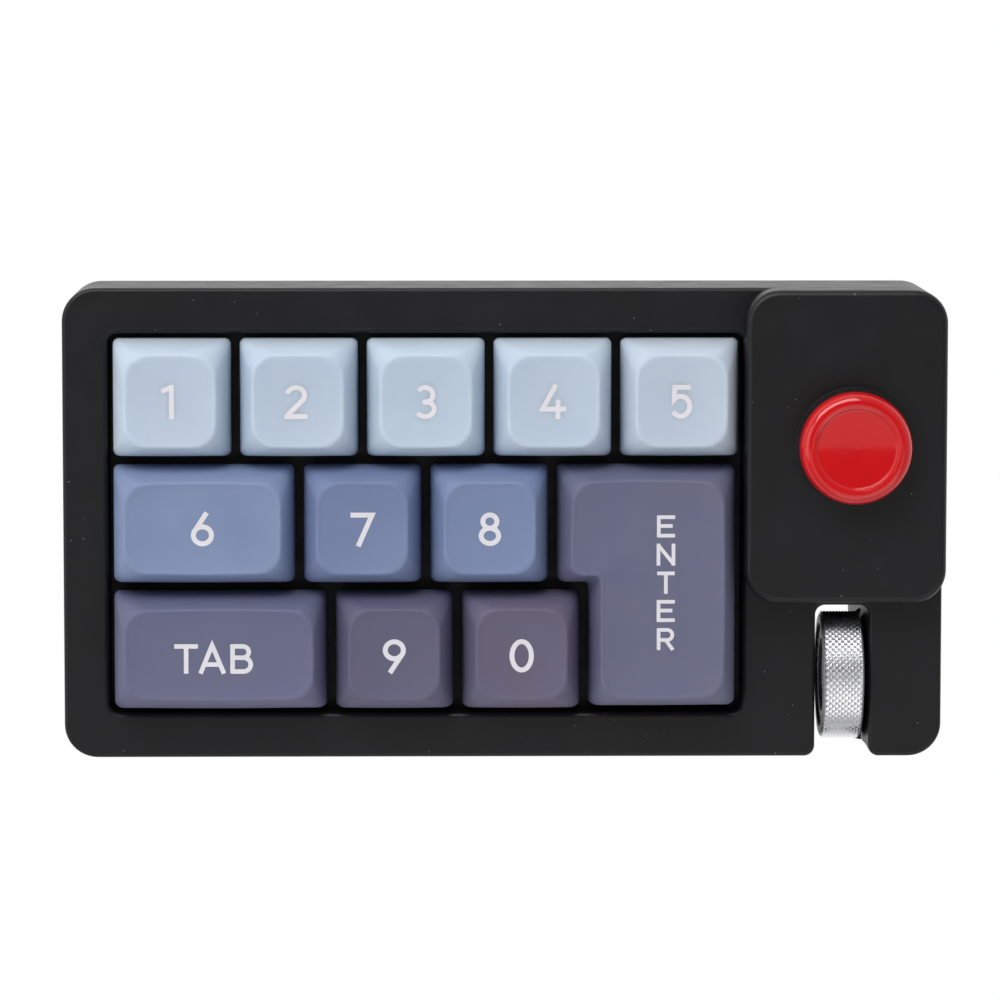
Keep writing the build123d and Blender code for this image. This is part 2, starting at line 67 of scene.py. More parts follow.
def addNode(tree, kind, inputs=None, **settings):
    node = tree.nodes.new(kind)
    for name, value in settings.items():
        setattr(node, name, value)
    for name, value in (inputs or {}).items():
        if isinstance(value, bpy.types.NodeSocket):
            tree.links.new(value, node.inputs[name])
        else:
            node.inputs[name].default_value = value
    return node


def startMaterial(name):
    material = bpy.data.materials.new(name)
    material.use_nodes = True
    tree = material.node_tree
    shader = tree.nodes["Principled BSDF"]
    place = addNode(tree, "ShaderNodeTexCoord").outputs["Object"]
    return material, tree, shader, place


def noiseBetween(tree, place, sizeMm, low, high, detail=2.0):
    noise = addNode(
        tree,
        "ShaderNodeTexNoise",
        {"Vector": place, "Scale": 1 / (sizeMm * mm), "Detail": detail, "Roughness": 0.5},
    )
    spread = addNode(
        tree,
        "ShaderNodeMapRange",
        {"Value": noise.outputs["Fac"], "From Min": 0.3, "From Max": 0.7, "To Min": low, "To Max": high},
    )
    return spread.outputs["Result"]


def mixColours(tree, share, first, second):
    mix = addNode(tree, "ShaderNodeMix", {0: share, 6: first, 7: second}, data_type="RGBA")
    return mix.outputs[2]


def grainBump(tree, shader, place, sizeMm, depthMm):
    grain = addNode(
        tree,
        "ShaderNodeTexNoise",
        {"Vector": place, "Scale": 1 / (sizeMm * mm), "Detail": 3.0},
    )
    bump = addNode(
        tree,
        "ShaderNodeBump",
        {"Height": grain.outputs["Fac"], "Distance": depthMm * mm, "Strength": 1.0},
    )
    tree.links.new(bump.outputs["Normal"], shader.inputs["Normal"])


# Moulded plastic: two close shades drift over a few millimetres, the gloss varies with them,
# and a fine spark-eroded grain breaks up reflections.
def mouldedPlastic(name, mainHex, driftHex, driftMm, gloss, grainMm, grainDepthMm):
    material, tree, shader, place = startMaterial(name)
    drift = noiseBetween(tree, place, driftMm, 0.0, 1.0)
    colour = mixColours(tree, drift, srgb(mainHex), srgb(driftHex))
    tree.links.new(colour, shader.inputs["Base Color"])
    sheen = noiseBetween(tree, place, driftMm / 3, *gloss)
    tree.links.new(sheen, shader.inputs["Roughness"])
    shader.inputs["IOR"].default_value = 1.5
    grainBump(tree, shader, place, grainMm, grainDepthMm)
    return material


# Satin black moulded case: soft reflections, with a few pale specks of dust lying on it.
# The specks are drawn about 0.1 mm wide, as coarse as they need to be to show.
caseFinish = {
    "main": "#111113",
    "drift": "#151418",
    "dust": "#8d8d90",
    "driftMm": 14.0,
    "speckGapMm": 1.6,
    "speckSpan": (0.03, 0.07),
    "patchMm": 6.0,
    "patchSpan": (0.58, 0.68),
    "gloss": (0.36, 0.44),
    "glossMm": 5.0,
    "ior": 1.41,
    "grainMm": 0.22,
    "grainDepthMm": 0.006,
}


def satinBlackCase():
    look = caseFinish
    material, tree, shader, place = startMaterial("satinBlackMouldedCase")
    drift = noiseBetween(tree, place, look["driftMm"], 0.0, 1.0)
    colour = mixColours(tree, drift, srgb(look["main"]), srgb(look["drift"]))
    cells = addNode(
        tree,
        "ShaderNodeTexVoronoi",
        {"Vector": place, "Scale": 1 / (look["speckGapMm"] * mm)},
    )
    speck = addNode(
        tree,
        "ShaderNodeMapRange",
        {
            "Value": cells.outputs["Distance"],
            "From Min": look["speckSpan"][0],
            "From Max": look["speckSpan"][1],
            "To Min": 1.0,
            "To Max": 0.0,
        },
    )
    chance = addNode(
        tree,
        "ShaderNodeMapRange",
        {
            "Value": noiseBetween(tree, place, look["patchMm"], 0.0, 1.0),
            "From Min": look["patchSpan"][0],
            "From Max": look["patchSpan"][1],
        },
    )
    dust = addNode(
        tree,
        "ShaderNodeMath",
        {0: speck.outputs["Result"], 1: chance.outputs["Result"]},
        operation="MULTIPLY",
    )
    dusted = mixColours(tree, dust.outputs[0], colour, srgb(look["dust"]))
    tree.links.new(dusted, shader.inputs["Base Color"])
    gloss = noiseBetween(tree, place, look["glossMm"], *look["gloss"])
    tree.links.new(gloss, shader.inputs["Roughness"])
    shader.inputs["IOR"].default_value = look["ior"]
    grainBump(tree, shader, place, look["grainMm"], look["grainDepthMm"])
    return material


# Polished red cap: clear gloss over an even red, with faint handling haze.
def polishedRed():
    material, tree, shader, place = startMaterial("polishedRedInjectionMoulding")
    drift = noiseBetween(tree, place, 6.0, 0.0, 1.0)
    colour = mixColours(tree, drift, srgb("#d40c12"), srgb("#ca0b12"))
    tree.links.new(colour, shader.inputs["Base Color"])
    haze = noiseBetween(tree, place, 2.0, 0.06, 0.11)
    tree.links.new(haze, shader.inputs["Roughness"])
    shader.inputs["IOR"].default_value = 1.5
    shader.inputs["Coat Weight"].default_value = 0.3
    shader.inputs["Coat Roughness"].default_value = 0.05
    return material


# Bright turned metal: fine scratches run round or along it and vary its gloss.
def brightMetal(name, mainHex, driftHex, gloss, stretch):
    material, tree, shader, place = startMaterial(name)
    lay = addNode(tree, "ShaderNodeMapping", {"Vector": place, "Scale": stretch})
    drift = noiseBetween(tree, lay.outputs["Vector"], 1.0, 0.0, 1.0, detail=4.0)
    colour = mixColours(tree, drift, srgb(mainHex), srgb(driftHex))
    tree.links.new(colour, shader.inputs["Base Color"])
    scratches = noiseBetween(tree, lay.outputs["Vector"], 0.6, *gloss)
    tree.links.new(scratches, shader.inputs["Roughness"])
    shader.inputs["Metallic"].default_value = 1.0
    return material


caseBlack = satinBlackCase()
stickRed = polishedRed()
wheelMetal = brightMetal("knurledNickelPlatedSteel", "#f2f2f4", "#e6e6ea", (0.24, 0.36), (0.2, 1.0, 1.0))
plainSteel = brightMetal("zincPlatedSteel", "#a9abae", "#9a9ca0", (0.28, 0.42), (1.0, 0.3, 1.0))
# Mid grey with a soft polish: painted light on a dark glossy face, lifted to grey so that it still reads
# bright where the slot shades it.
hubPaintedLightGrey = mouldedPlastic("paintedLightGreyHub", "#86868c", "#8e8e94", 3.0, (0.2, 0.3), 0.4, 0.001)
switchBlack = mouldedPlastic("mouldedBlackSwitch", "#0d0d0e", "#121214", 3.0, (0.42, 0.55), 0.2, 0.004)
switchRed = mouldedPlastic("mouldedRedSlider", "#8f1d1d", "#992424", 2.0, (0.32, 0.42), 0.2, 0.002)
plateBlack = mouldedPlastic("anodisedBlackPlate", "#141416", "#1a1a1d", 4.0, (0.35, 0.48), 0.15, 0.004)
boardGreen = mouldedPlastic("solderMaskBoard", "#0f3a22", "#124227", 3.0, (0.25, 0.4), 0.5, 0.01)
footRubber = mouldedPlastic("mattBlackRubber", "#18181a", "#202022", 2.0, (0.7, 0.85), 0.25, 0.02)
# A near-black matt sheet for the ring under the stick cap: painted shade.
paintedShadeRingBlack = mouldedPlastic("paintedShadeRingMatt", "#060607", "#0a0a0b", 1.5, (0.8, 0.95), 0.3, 0.03)
legendWhite = mouldedPlastic("whiteDyedLegend", "#e9e6ec", "#e2e0e6", 2.0, (0.45, 0.55), 0.2, 0.001)

finishOfNode = {
    "top_case": caseBlack,
    "bottom_case": caseBlack,
    "stick_pod": caseBlack,
    "switch_plate": plateBlack,
    "main_pcb": boardGreen,
    "stick_board": boardGreen,
    "switch_lower_housings": switchBlack,
    "switch_upper_housings": switchBlack,
    "stabiliser_housings": switchBlack,
    "stabiliser_stems": switchRed,
    "plate_screws": plainSteel,
    "case_screws": plainSteel,
    "pod_screws": plainSteel,
    "rubber_feet": footRubber,
    "usb_socket": plainSteel,
    "wheel_ring": wheelMetal,
    # The hub takes the grey that is painted light on its dark glossy face.
    "wheel_hub": hubPaintedLightGrey,
    "wheel_axle": plainSteel,
    "encoder_body": switchBlack,
    "stick_cap": stickRed,
    "stick_stem": switchBlack,
    "stick_gimbal": switchRed,
    "stick_housing": switchBlack,
}
for nodeName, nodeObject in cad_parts.items():
    finish = finishOfNode.get(nodeName)
    if nodeName.startswith("switch_stem_"):
        finish = switchRed
    if nodeName.startswith("switch_spring_"):
        finish = plainSteel
    if finish:
        nodeObject.data.materials.clear()
        nodeObject.data.materials.append(finish)
print("materials made")


# Mesh helpers


def makePiece(name, points, faces, material, body, node=None, smooth=True):
    mesh = bpy.data.meshes.new(name)
    mesh.from_pydata([tuple(p) for p in points], [], faces)
    mesh.polygons.foreach_set("use_smooth", [smooth] * len(mesh.polygons))
    mesh.materials.append(material)
    mesh.update()
    piece = bpy.data.objects.new(name, mesh)
    bpy.context.scene.collection.objects.link(piece)
    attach(piece, body)
    if node:
        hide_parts(node)
    return piece


def bridgeRings(ringCount, ringSize):
    faces = []
    for ring in range(ringCount - 1):
        for step in range(ringSize):
            after = (step + 1) % ringSize
            low = ring * ringSize
            high = low + ringSize
            faces.append((low + step, low + after, high + after, high + step))
    return faces


# Keycaps. Outlines are square-cornered polygons, inset and rounded ring by ring.
# Each underside pair is an inset and a lift, and each dish edge pair is an inset and a drop.
keyPitch = 19.05
capShape = {
    "baseRadius": 0.9,
    "topRadius": 3.3,
    "topInset": 2.6,
    "baseSlope": 0.7,
    "shoulder": 3.2,
    "sideBulge": 0.7,
    "endBulge": 1.0,
    "rimRadius": 0.45,
    "rimTilt": 54.0,
    "gridStep": 1.1,
    "dishRadius": 46.0,
    "arcSteps": 7,
    "sideSteps": 8,
    "footShare": 0.012,
    "underside": ((1.9, 6.0), (1.3, 0.3), (1.1, 0.0), (0.12, 0.0)),
    "sideShares": (0.05, 0.15, 0.27, 0.39, 0.5, 0.6, 0.69, 0.77, 0.84, 0.9, 0.95, 0.98),
    "rimShares": (1.0, 0.8, 0.6, 0.4, 0.2),
    "dishEdge": ((0.02, 0.004), (0.1, 0.014), (0.24, 0.036), (0.5, 0.05)),
}
dishReach, dishDrop = capShape["dishEdge"][-1]


def roundedRing(corners, radii, inset):
    points = []
    count = len(corners)
    inner = []
    for index in range(count):
        before = Vector(corners[index - 1])
        here = Vector(corners[index])
        after = Vector(corners[(index + 1) % count])
        inward = (here - before).normalized()
        onward = (after - here).normalized()
        shift = Vector((-inward.y, inward.x)) + Vector((-onward.y, onward.x))
        inner.append((here + shift * inset, inward, onward))
    for index in range(count):
        corner, inward, onward = inner[index]
        radius = radii[index]
        turn = 1.0 if inward.x * onward.y - inward.y * onward.x > 0 else -1.0
        start = corner - inward * radius
        centre = start + Vector((-inward.y, inward.x)) * radius * turn
        for step in range(capShape["arcSteps"] + 1):
            angle = math.radians(90) * step / capShape["arcSteps"] * turn
            spoke = start - centre
            points.append(
                centre
                + Vector((
                    spoke.x * math.cos(angle) - spoke.y * math.sin(angle),
                    spoke.x * math.sin(angle) + spoke.y * math.cos(angle),
                ))
            )
        nextCorner, nextInward, _ = inner[(index + 1) % count]
        runStart = corner + onward * radius
        runEnd = nextCorner - nextInward * radii[(index + 1) % count]
        for step in range(1, capShape["sideSteps"]):
            points.append(runStart.lerp(runEnd, step / capShape["sideSteps"]))
    return points


def bulged(cap, p, share):
    (xLow, yLow), (xHigh, yHigh) = cap["extent"]
    u = (2 * p.x - xLow - xHigh) / (xHigh - xLow)
    v = (2 * p.y - yLow - yHigh) / (yHigh - yLow)
    sideways = capShape["sideBulge"] * share * (1 - v * v) * u ** 3
    endways = capShape["endBulge"] * share * (1 - u * u) * v ** 3
    return Vector((p.x + sideways, p.y + endways))


def dishLift(x, y, spine):
    nearest = 1e9
    for xLow, xHigh, yLow, yHigh in spine:
        dx = max(xLow - x, 0.0, x - xHigh)
        dy = max(yLow - y, 0.0, y - yHigh)
        nearest = min(nearest, dx * dx + dy * dy)
    return nearest / (2 * capShape["dishRadius"])


def cornerRadii(cap, inset):
    share = min(inset / capShape["topInset"], 1.0)
    plain = capShape["baseRadius"] + (capShape["topRadius"] - capShape["baseRadius"]) * share
    plain = min(plain, 0.45 * (cap["narrow"] - 2 * inset))
    return [min(plain, limit) for limit in cap["radiusLimits"]]


def dishBottom(cap):
    reach = capRing(cap, capShape["topInset"])
    return cap["top"] - max(dishLift(p.x, p.y, cap["spine"]) for p in reach)


def capRing(cap, inset):
    share = min(max(inset, 0.0) / capShape["topInset"], 1.0)
    corners = [(x + easeX * share, y + easeY * share) for x, y, easeX, easeY in cap["corners"]]
    ring = roundedRing(corners, cornerRadii(cap, max(inset, 0.0)), inset)
    return [bulged(cap, p, share) for p in ring]


def dishInterior(ring):
    count = len(ring)
    step = capShape["gridStep"]
    xLow = min(p.x for p in ring)
    xHigh = max(p.x for p in ring)
    yLow = min(p.y for p in ring)
    yHigh = max(p.y for p in ring)
    seeds = list(ring)
    for column in range(1, int((xHigh - xLow) / step)):
        for row in range(1, int((yHigh - yLow) / step)):
            spot = Vector((xLow + column * step, yLow + row * step))
            if min((spot - p).length for p in ring) > 0.6 * step:
                seeds.append(spot)
    spots, _, triangles, origins, _, _ = delaunay_2d_cdt(seeds, [], [list(range(count))], 1, 1e-4)
    return spots, triangles, [min(origin) for origin in origins]


def makeKeycap(name, cap, material):
    floor = dishBottom(cap)
    height = cap["top"] - cap["low"]
    points = []
    rim = capShape["topInset"]
    radius = capShape["rimRadius"]
    tilt = math.radians(capShape["rimTilt"])
    shoulderDrop = radius * (1 - math.cos(tilt))

    def addRing(inset, heightAt):
        for p in capRing(cap, inset):
            points.append(Vector((p.x, p.y, heightAt(p))) * mm)

    def flat(level):
        return lambda p: level

    def rimHeight(p):
        return floor + dishLift(p.x, p.y, cap["spine"])

    def onSide(share):
        return lambda p: cap["low"] + share * (rimHeight(p) - shoulderDrop - cap["low"])

    def inDish(drop):
        return lambda p: rimHeight(p) - drop

    for inset, lift in capShape["underside"]:
        addRing(inset, flat(cap["low"] + lift))
    addRing(0.0, flat(cap["low"] + capShape["footShare"] * height))
    slope = capShape["baseSlope"]
    climb = rim - radius * math.sin(tilt) - slope
    for share in capShape["sideShares"]:
        addRing(climb * share ** capShape["shoulder"] + slope * share, onSide(share))
    for share in capShape["rimShares"]:
        lean = tilt * share
        addRing(rim - radius * math.sin(lean), inDish(radius * (1 - math.cos(lean))))
    for step, drop in capShape["dishEdge"]:
        addRing(rim + step, inDish(drop))
    ring = capRing(cap, rim + dishReach)
    size = len(ring)
    ringCount = len(points) // size
    faces = bridgeRings(ringCount, size)
    faces.append(tuple(range(size - 1, -1, -1)))
    spots, triangles, origins = dishInterior(ring)
    places = []
    for spot, origin in zip(spots, origins):
        if origin < size:
            places.append((ringCount - 1) * size + origin)
        else:
            places.append(len(points))
            points.append(Vector((spot.x, spot.y, inDish(dishDrop)(spot))) * mm)
    for triangle in triangles:
        a, b, c = (spots[index] for index in triangle)
        upward = (b - a).cross(c - a) > 0
        corners = [places[index] for index in triangle]
        faces.append(tuple(corners if upward else reversed(corners)))
    return makePiece("cap_" + name, points, faces, material, "key_" + name, "keycap_" + name)


def legendHeight(cap, x, y):
    dish = dishBottom(cap) + dishLift(x, y, cap["spine"]) - dishDrop
    return dish + legendPlan["proud"]


# One entry per cap: main colour, the shade that it drifts to, legend and its height in millimetres.
capLooks = {
    "1": ("#beccdd", "#c1cfdf", "1", 5.14),
    "2": ("#bccbdd", "#c0cede", "2", 5.14),
    "3": ("#becdde", "#c2d1e0", "3", 5.14),
    "4": ("#becdde", "#c2d0df", "4", 5.14),
    "5": ("#bfccdc", "#c3d0de", "5", 5.14),
    "6": ("#7c8cb0", "#8292b5", "6", 5.1),
    "7": ("#7281a7", "#7785aa", "7", 5.1),
    "8": ("#7787ad", "#7a89ad", "8", 5.1),
    "9": ("#5c5d78", "#605f78", "9", 5.1),
    "0": ("#64617b", "#655d73", "0", 5.1),
    "tab": ("#666987", "#686986", "TAB", 4.4),
    "enter": ("#656885", "#696b84", "ENTER", 3.3),
}
# The tall cap ends a little short of its grid square at the right and the front.
# Its dish also runs closer to the two edges of the notch.
tallCap = {"trim": 0.35, "notchEase": 0.6, "stepRadius": 1.9, "notchRadius": 0.9}
# Light goes some way into the dyed plastic, most of all where it is pale.
# It softens the shade on the sides.
capPlastic = {
    "pale": "12345",
    "paleScatter": 0.6,
    "deepScatter": 0.15,
    "scatterMm": 3.0,
    "driftMm": 9.0,
    "gloss": (0.5, 0.6),
    "grainMm": 0.16,
    "grainDepthMm": 0.004,
}


def dyedPlastic(name):
    look = capPlastic
    mainHex, driftHex = capLooks[name][:2]
    plastic = mouldedPlastic(
        "dyedKeycapPlastic_" + name,
        mainHex,
        driftHex,
        look["driftMm"],
        look["gloss"],
        look["grainMm"],
        look["grainDepthMm"],
    )
    sockets = plastic.node_tree.nodes["Principled BSDF"].inputs
    scatter = look["paleScatter"] if name in look["pale"] else look["deepScatter"]
    sockets["Subsurface Weight"].default_value = scatter
    sockets["Subsurface Radius"].default_value = (1.0, 1.0, 1.0)
    sockets["Subsurface Scale"].default_value = look["scatterMm"] * mm
    return plastic


caps = {}
noLimit = math.inf
for name in capLooks:
    low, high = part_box("keycap_" + name)
    low = low / mm
    high = high / mm
    cap = {"low": low.z, "top": high.z, "narrow": min(high.x - low.x, high.y - low.y)}
    cap["extent"] = ((low.x, low.y), (high.x, high.y))
    if name == "enter":
        notch = keyPitch / 4
        rowDepth = high.y - low.y - keyPitch
        step = high.y - rowDepth
        high.x -= tallCap["trim"]
        low.y += tallCap["trim"]
        ease = tallCap["notchEase"]
        cap["narrow"] = rowDepth
        cap["corners"] = [
            (high.x, low.y, 0, 0),
            (high.x, high.y, 0, 0),
            (low.x, high.y, 0, 0),
            (low.x, step, 0, -ease),
            (low.x + notch, step, -ease, -ease),
            (low.x + notch, low.y, -ease, 0),
        ]
        cap["radiusLimits"] = [
            noLimit,
            noLimit,
            noLimit,
            tallCap["stepRadius"],
            tallCap["notchRadius"],
            noLimit,
        ]
        half = rowDepth / 2
        cap["spine"] = [
            (low.x + half, high.x - half, high.y - half, high.y - half),
            (low.x + notch + half, high.x - half, low.y + half, high.y - half),
        ]
        cap["centre"] = ((low.x + notch + high.x) / 2, (low.y + high.y) / 2)
    else:
        cap["corners"] = [
            (high.x, low.y, 0, 0),
            (high.x, high.y, 0, 0),
            (low.x, high.y, 0, 0),
            (low.x, low.y, 0, 0),
        ]
        cap["radiusLimits"] = [noLimit] * 4
        half = (high.y - low.y) / 2
        middle = (low.y + high.y) / 2
        cap["spine"] = [(low.x + half, high.x - half, middle, middle)]
        cap["centre"] = ((low.x + high.x) / 2, middle)
    caps[name] = cap
    makeKeycap(name, cap, dyedPlastic(name))
print("keycaps made")


# Switch springs: wound wire, running the full height of the part.
springPlan = {"wire": 0.2, "turns": 9, "perTurn": 24, "around": 8, "travel": 4.0}


def makeSpring(name):
    low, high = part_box("switch_spring_" + name)
    foot = Vector(((low.x + high.x) / 2, (low.y + high.y) / 2, low.z))
    length = high.z - low.z
    wire = springPlan["wire"] * mm
    coilRadius = (high.x - low.x) / 2 - wire
    around = springPlan["around"]
    steps = springPlan["turns"] * springPlan["perTurn"]
    points = []
    for step in range(steps + 1):
        angle = 2 * math.pi * step / springPlan["perTurn"]
        outward = Vector((math.cos(angle), math.sin(angle), 0))
        rise = Vector((0, 0, wire + (length - 2 * wire) * step / steps))
        for side in range(around):
            turn = 2 * math.pi * side / around
            skin = outward * math.cos(turn) + Vector((0, 0, math.sin(turn)))
            points.append(foot + rise + outward * coilRadius + skin * wire)
    faces = [tuple(reversed(face)) for face in bridgeRings(steps + 1, around)]
    faces.append(tuple(range(around)))
    faces.append(tuple(reversed(range(steps * around, (steps + 1) * around))))
    spring = makePiece("spring_" + name, points, faces, plainSteel, "case", "switch_spring_" + name)
    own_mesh(spring)


for name in capLooks:
    makeSpring(name)
print("springs made")


# Legends: strokes of one width, laid on the dish. Each glyph is drawn in a box one unit tall.
def arc(x, y, wide, tall, start, end, steps=18):
    points = []
    for step in range(steps + 1):
        angle = math.radians(start + (end - start) * step / steps)
        points.append((x + wide * math.cos(angle), y + tall * math.sin(angle)))
    return points


def line(*points):
    return list(points)


glyphs = {
    "1": [line((0.05, -0.5), (0.05, 0.5)), line((0.05, 0.43), (-0.24, 0.315))],
    "2": [
        arc(0, 0.2, 0.255, 0.22, 168, -42) + line((-0.255, -0.385)),
        line((-0.34, -0.42), (0.34, -0.42)),
    ],
    "3": [
        arc(-0.02, 0.205, 0.225, 0.215, 150, -90),
        arc(-0.02, -0.205, 0.26, 0.215, 90, -150),
        line((-0.1, -0.005), (0.0, -0.005)),
    ],
    "4": [line((0.12, -0.5), (0.12, 0.06)), line((0.36, -0.21), (-0.33, -0.21), (0.06, 0.5))],
    "5": [
        line((0.26, 0.42), (-0.2, 0.42), (-0.23, 0.04)) + arc(-0.03, -0.13, 0.265, 0.29, 128, -148),
    ],
    "6": [arc(0, -0.17, 0.265, 0.25, 0, 360, 30), line((-0.235, -0.06), (0.13, 0.5))],
    "7": [line((-0.34, 0.42), (0.29, 0.42), (-0.12, -0.5))],
    "8": [arc(0, 0.225, 0.205, 0.195, 0, 360, 26), arc(0, -0.195, 0.255, 0.225, 0, 360, 28)],
    "9": [arc(0, 0.17, 0.265, 0.25, 0, 360, 30), line((0.235, 0.06), (-0.13, -0.5))],
    "0": [arc(0, 0, 0.285, 0.42, 0, 360, 36)],
    "T": [line((-0.4, 0.43), (0.4, 0.43)), line((0, 0.43), (0, -0.5))],
    "A": [line((-0.4, -0.5), (0, 0.47), (0.4, -0.5)), line((-0.27, -0.19), (0.27, -0.19))],
    "B": [
        line((-0.29, -0.5), (-0.29, 0.5)),
        line((-0.29, 0.43), (0.06, 0.43))
        + arc(0.06, 0.235, 0.2, 0.195, 90, -90, 10)
        + line((-0.29, 0.04)),
        line((-0.29, 0.04), (0.09, 0.04))
        + arc(0.09, -0.195, 0.235, 0.235, 90, -90, 12)
        + line((-0.29, -0.43)),
    ],
    "E": [
        line((-0.33, -0.5), (-0.33, 0.5)),
        line((-0.33, 0.42), (0.41, 0.42)),
        line((-0.33, 0.02), (0.3, 0.02)),
        line((-0.33, -0.42), (0.41, -0.42)),
    ],
    "N": [
        line((-0.34, -0.5), (-0.34, 0.5)),
        line((-0.34, 0.42), (0.34, -0.42)),
        line((0.34, -0.5), (0.34, 0.5)),
    ],
    "R": [
        line((-0.32, -0.5), (-0.32, 0.5)),
        line((-0.32, 0.42), (0.08, 0.42))
        + arc(0.08, 0.19, 0.22, 0.23, 90, -90, 12)
        + line((-0.32, -0.04)),
        line((0.0, -0.04), (0.33, -0.5)),
    ],
}


def strokeBand(path, width):
    closed = math.dist(path[0], path[-1]) < 1e-6
    spots = [Vector(p) for p in (path[:-1] if closed else path)]
    count = len(spots)
    sides = []
    for index, spot in enumerate(spots):
        before = spots[index - 1] if closed or index else None
        after = spots[(index + 1) % count] if closed or index < count - 1 else None
        inward = (spot - before).normalized() if before else (after - spot).normalized()
        onward = (after - spot).normalized() if after else inward
        normal = (Vector((-inward.y, inward.x)) + Vector((-onward.y, onward.x))).normalized()
        reach = width / 2 / max(normal.dot(Vector((-inward.y, inward.x))), 0.4)
        sides.append((spot + normal * reach, spot - normal * reach))
    runs = count if closed else count - 1
    return sides, [(index, (index + 1) % count) for index in range(runs)]


def densify(path, longest):
    dense = [path[0]]
    for first, second in zip(path, path[1:]):
        pieces = math.ceil(math.dist(first, second) / longest - 1e-6)
        for step in range(1, pieces + 1):
            share = step / pieces
            x = first[0] + (second[0] - first[0]) * share
            y = first[1] + (second[1] - first[1]) * share
            dense.append((x, y))
    return dense


# Each stroke is a thin slab let into the dish. Later strokes stand a hair higher, so none share a face.
def makeLegend(name, cap, letters, strokeMm):
    points = []
    faces = []
    for letter, size, centreX, centreY in letters:
        for order, path in enumerate(glyphs[letter]):
            scaled = [(centreX + x * size, centreY + y * size) for x, y in path]
            sides, runs = strokeBand(densify(scaled, legendPlan["strokeStep"]), strokeMm)
            base = len(points)
            lift = order * legendPlan["strokeLift"]
            for pair in sides:
                for drop in (0.0, legendPlan["sink"]):
                    for edge in pair:
                        level = legendHeight(cap, edge.x, edge.y) + lift - drop
                        points.append(Vector((edge.x, edge.y, level)) * mm)
            for first, second in runs:
                a = base + 4 * first
                b = base + 4 * second
                for near, far in ((0, 1), (1, 3), (3, 2), (2, 0)):
                    faces.append((a + near, a + far, b + far, b + near))
            if len(runs) < len(sides):
                last = base + 4 * (len(sides) - 1)
                faces.append((base, base + 2, base + 3, base + 1))
                faces.append((last, last + 1, last + 3, last + 2))
    return makePiece("legend_" + name, points, faces, legendWhite, "key_" + name, smooth=False)


legendPlan = {
    "digitDrop": 0.15,
    "digitStroke": 0.74,
    "digitShift": {"2": -0.28},
    "tabSpots": ((-4.16, "T"), (-0.27, "A"), (4.05, "B")),
    "tabShift": (-0.75, -0.55),
    "tabStroke": 0.68,
    "enterShift": (0.3, 1.08),
    "enterPitch": 4.24,
    "enterStroke": 0.55,
    "strokeStep": 0.6,
    "proud": 0.015,
    "strokeLift": 0.005,
    "sink": 0.12,
}
for name, (_, _, legend, legendSize) in capLooks.items():
    cap = caps[name]
    centreX, centreY = cap["centre"]
    if name == "tab":
        shiftX, shiftY = legendPlan["tabShift"]
        letters = []
        for x, mark in legendPlan["tabSpots"]:
            letters.append((mark, legendSize, centreX + shiftX + x, centreY + shiftY))
        makeLegend(name, cap, letters, legendPlan["tabStroke"])
    elif name == "enter":
        shiftX, shiftY = legendPlan["enterShift"]
        letters = []
        for index, mark in enumerate(legend):
            drop = (index - 2) * legendPlan["enterPitch"]
            letters.append((mark, legendSize, centreX + shiftX, centreY + shiftY - drop))
        makeLegend(name, cap, letters, legendPlan["enterStroke"])
    else:
        shiftX = legendPlan["digitShift"].get(name, 0.0)
        letters = [(legend, legendSize, centreX + shiftX, centreY - legendPlan["digitDrop"])]
        makeLegend(name, cap, letters, legendPlan["digitStroke"])
print("legends made")


# Thumb stick cap: a turned profile with a rounded rim, a small step and a shallow dip.
stickProfile = {
    "segments": 128,
    "trim": 0.2,
    "curve": (
        (0.0, -0.56),
        (1.5, -0.55),
        (3.0, -0.52),
        (4.4, -0.475),
        (5.5, -0.425),
        (5.75, -0.41),
        (5.88, -0.36),
        (5.95, -0.26),
        (6.02, -0.17),
        (6.12, -0.13),
        (6.24, -0.12),
        (6.36, -0.06),
        (6.5, -0.02),
        (6.8, 0.0),
        (7.15, -0.05),
        (7.5, -0.19),
        (7.8, -0.4),
        (8.05, -0.7),
        (8.25, -1.1),
        (8.36, -1.6),
        (8.4, -2.2),
        (8.4, -3.3),
        (8.34, -3.7),
        (8.1, -3.95),
        (7.8, -4.0),
        (7.0, -4.0),
        (6.8, -3.8),
        (6.6, -2.4),
        (2.6, -2.4),
    ),
}
stickLow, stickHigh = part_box("stick_cap")
stickCentre = (stickLow + stickHigh) / 2
stickReach = (stickHigh.x - stickLow.x) / 2 / mm - stickProfile["trim"]
stickScale = mm * stickReach / max(radius for radius, _ in stickProfile["curve"])


def turnedPoints(curve, scale, segments, centreX, centreY, top):
    points = []
    for radius, level in curve:
        for step in range(segments):
            angle = 2 * math.pi * step / segments
            spoke = Vector((math.cos(angle), math.sin(angle), 0)) * radius * scale
            points.append(Vector((centreX, centreY, top + level * mm)) + spoke)
    return points


segments = stickProfile["segments"]
curve = stickProfile["curve"]
points = turnedPoints(curve, stickScale, segments, stickCentre.x, stickCentre.y, stickHigh.z)
faces = [tuple(reversed(face)) for face in bridgeRings(len(curve), segments)]
makePiece("stick_cap_turned", points, faces, stickRed, "stick", "stick_cap")

# A thin near-black ring lies on the pod round the stem: painted shade, standing in for the dark edge
# seen under the red cap.
shadeRingCurve = ((6.6, 0.0), (6.6, 0.1), (6.8, 0.16), (8.5, 0.16), (8.75, 0.1), (8.8, 0.0))
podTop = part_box("stick_pod")[1].z
points = turnedPoints(shadeRingCurve, mm, segments, stickCentre.x, stickCentre.y, podTop)
faces = [tuple(reversed(face)) for face in bridgeRings(len(shadeRingCurve), segments)]
makePiece("stick_painted_shade_ring", points, faces, paintedShadeRingBlack, "case")
print("stick cap made")


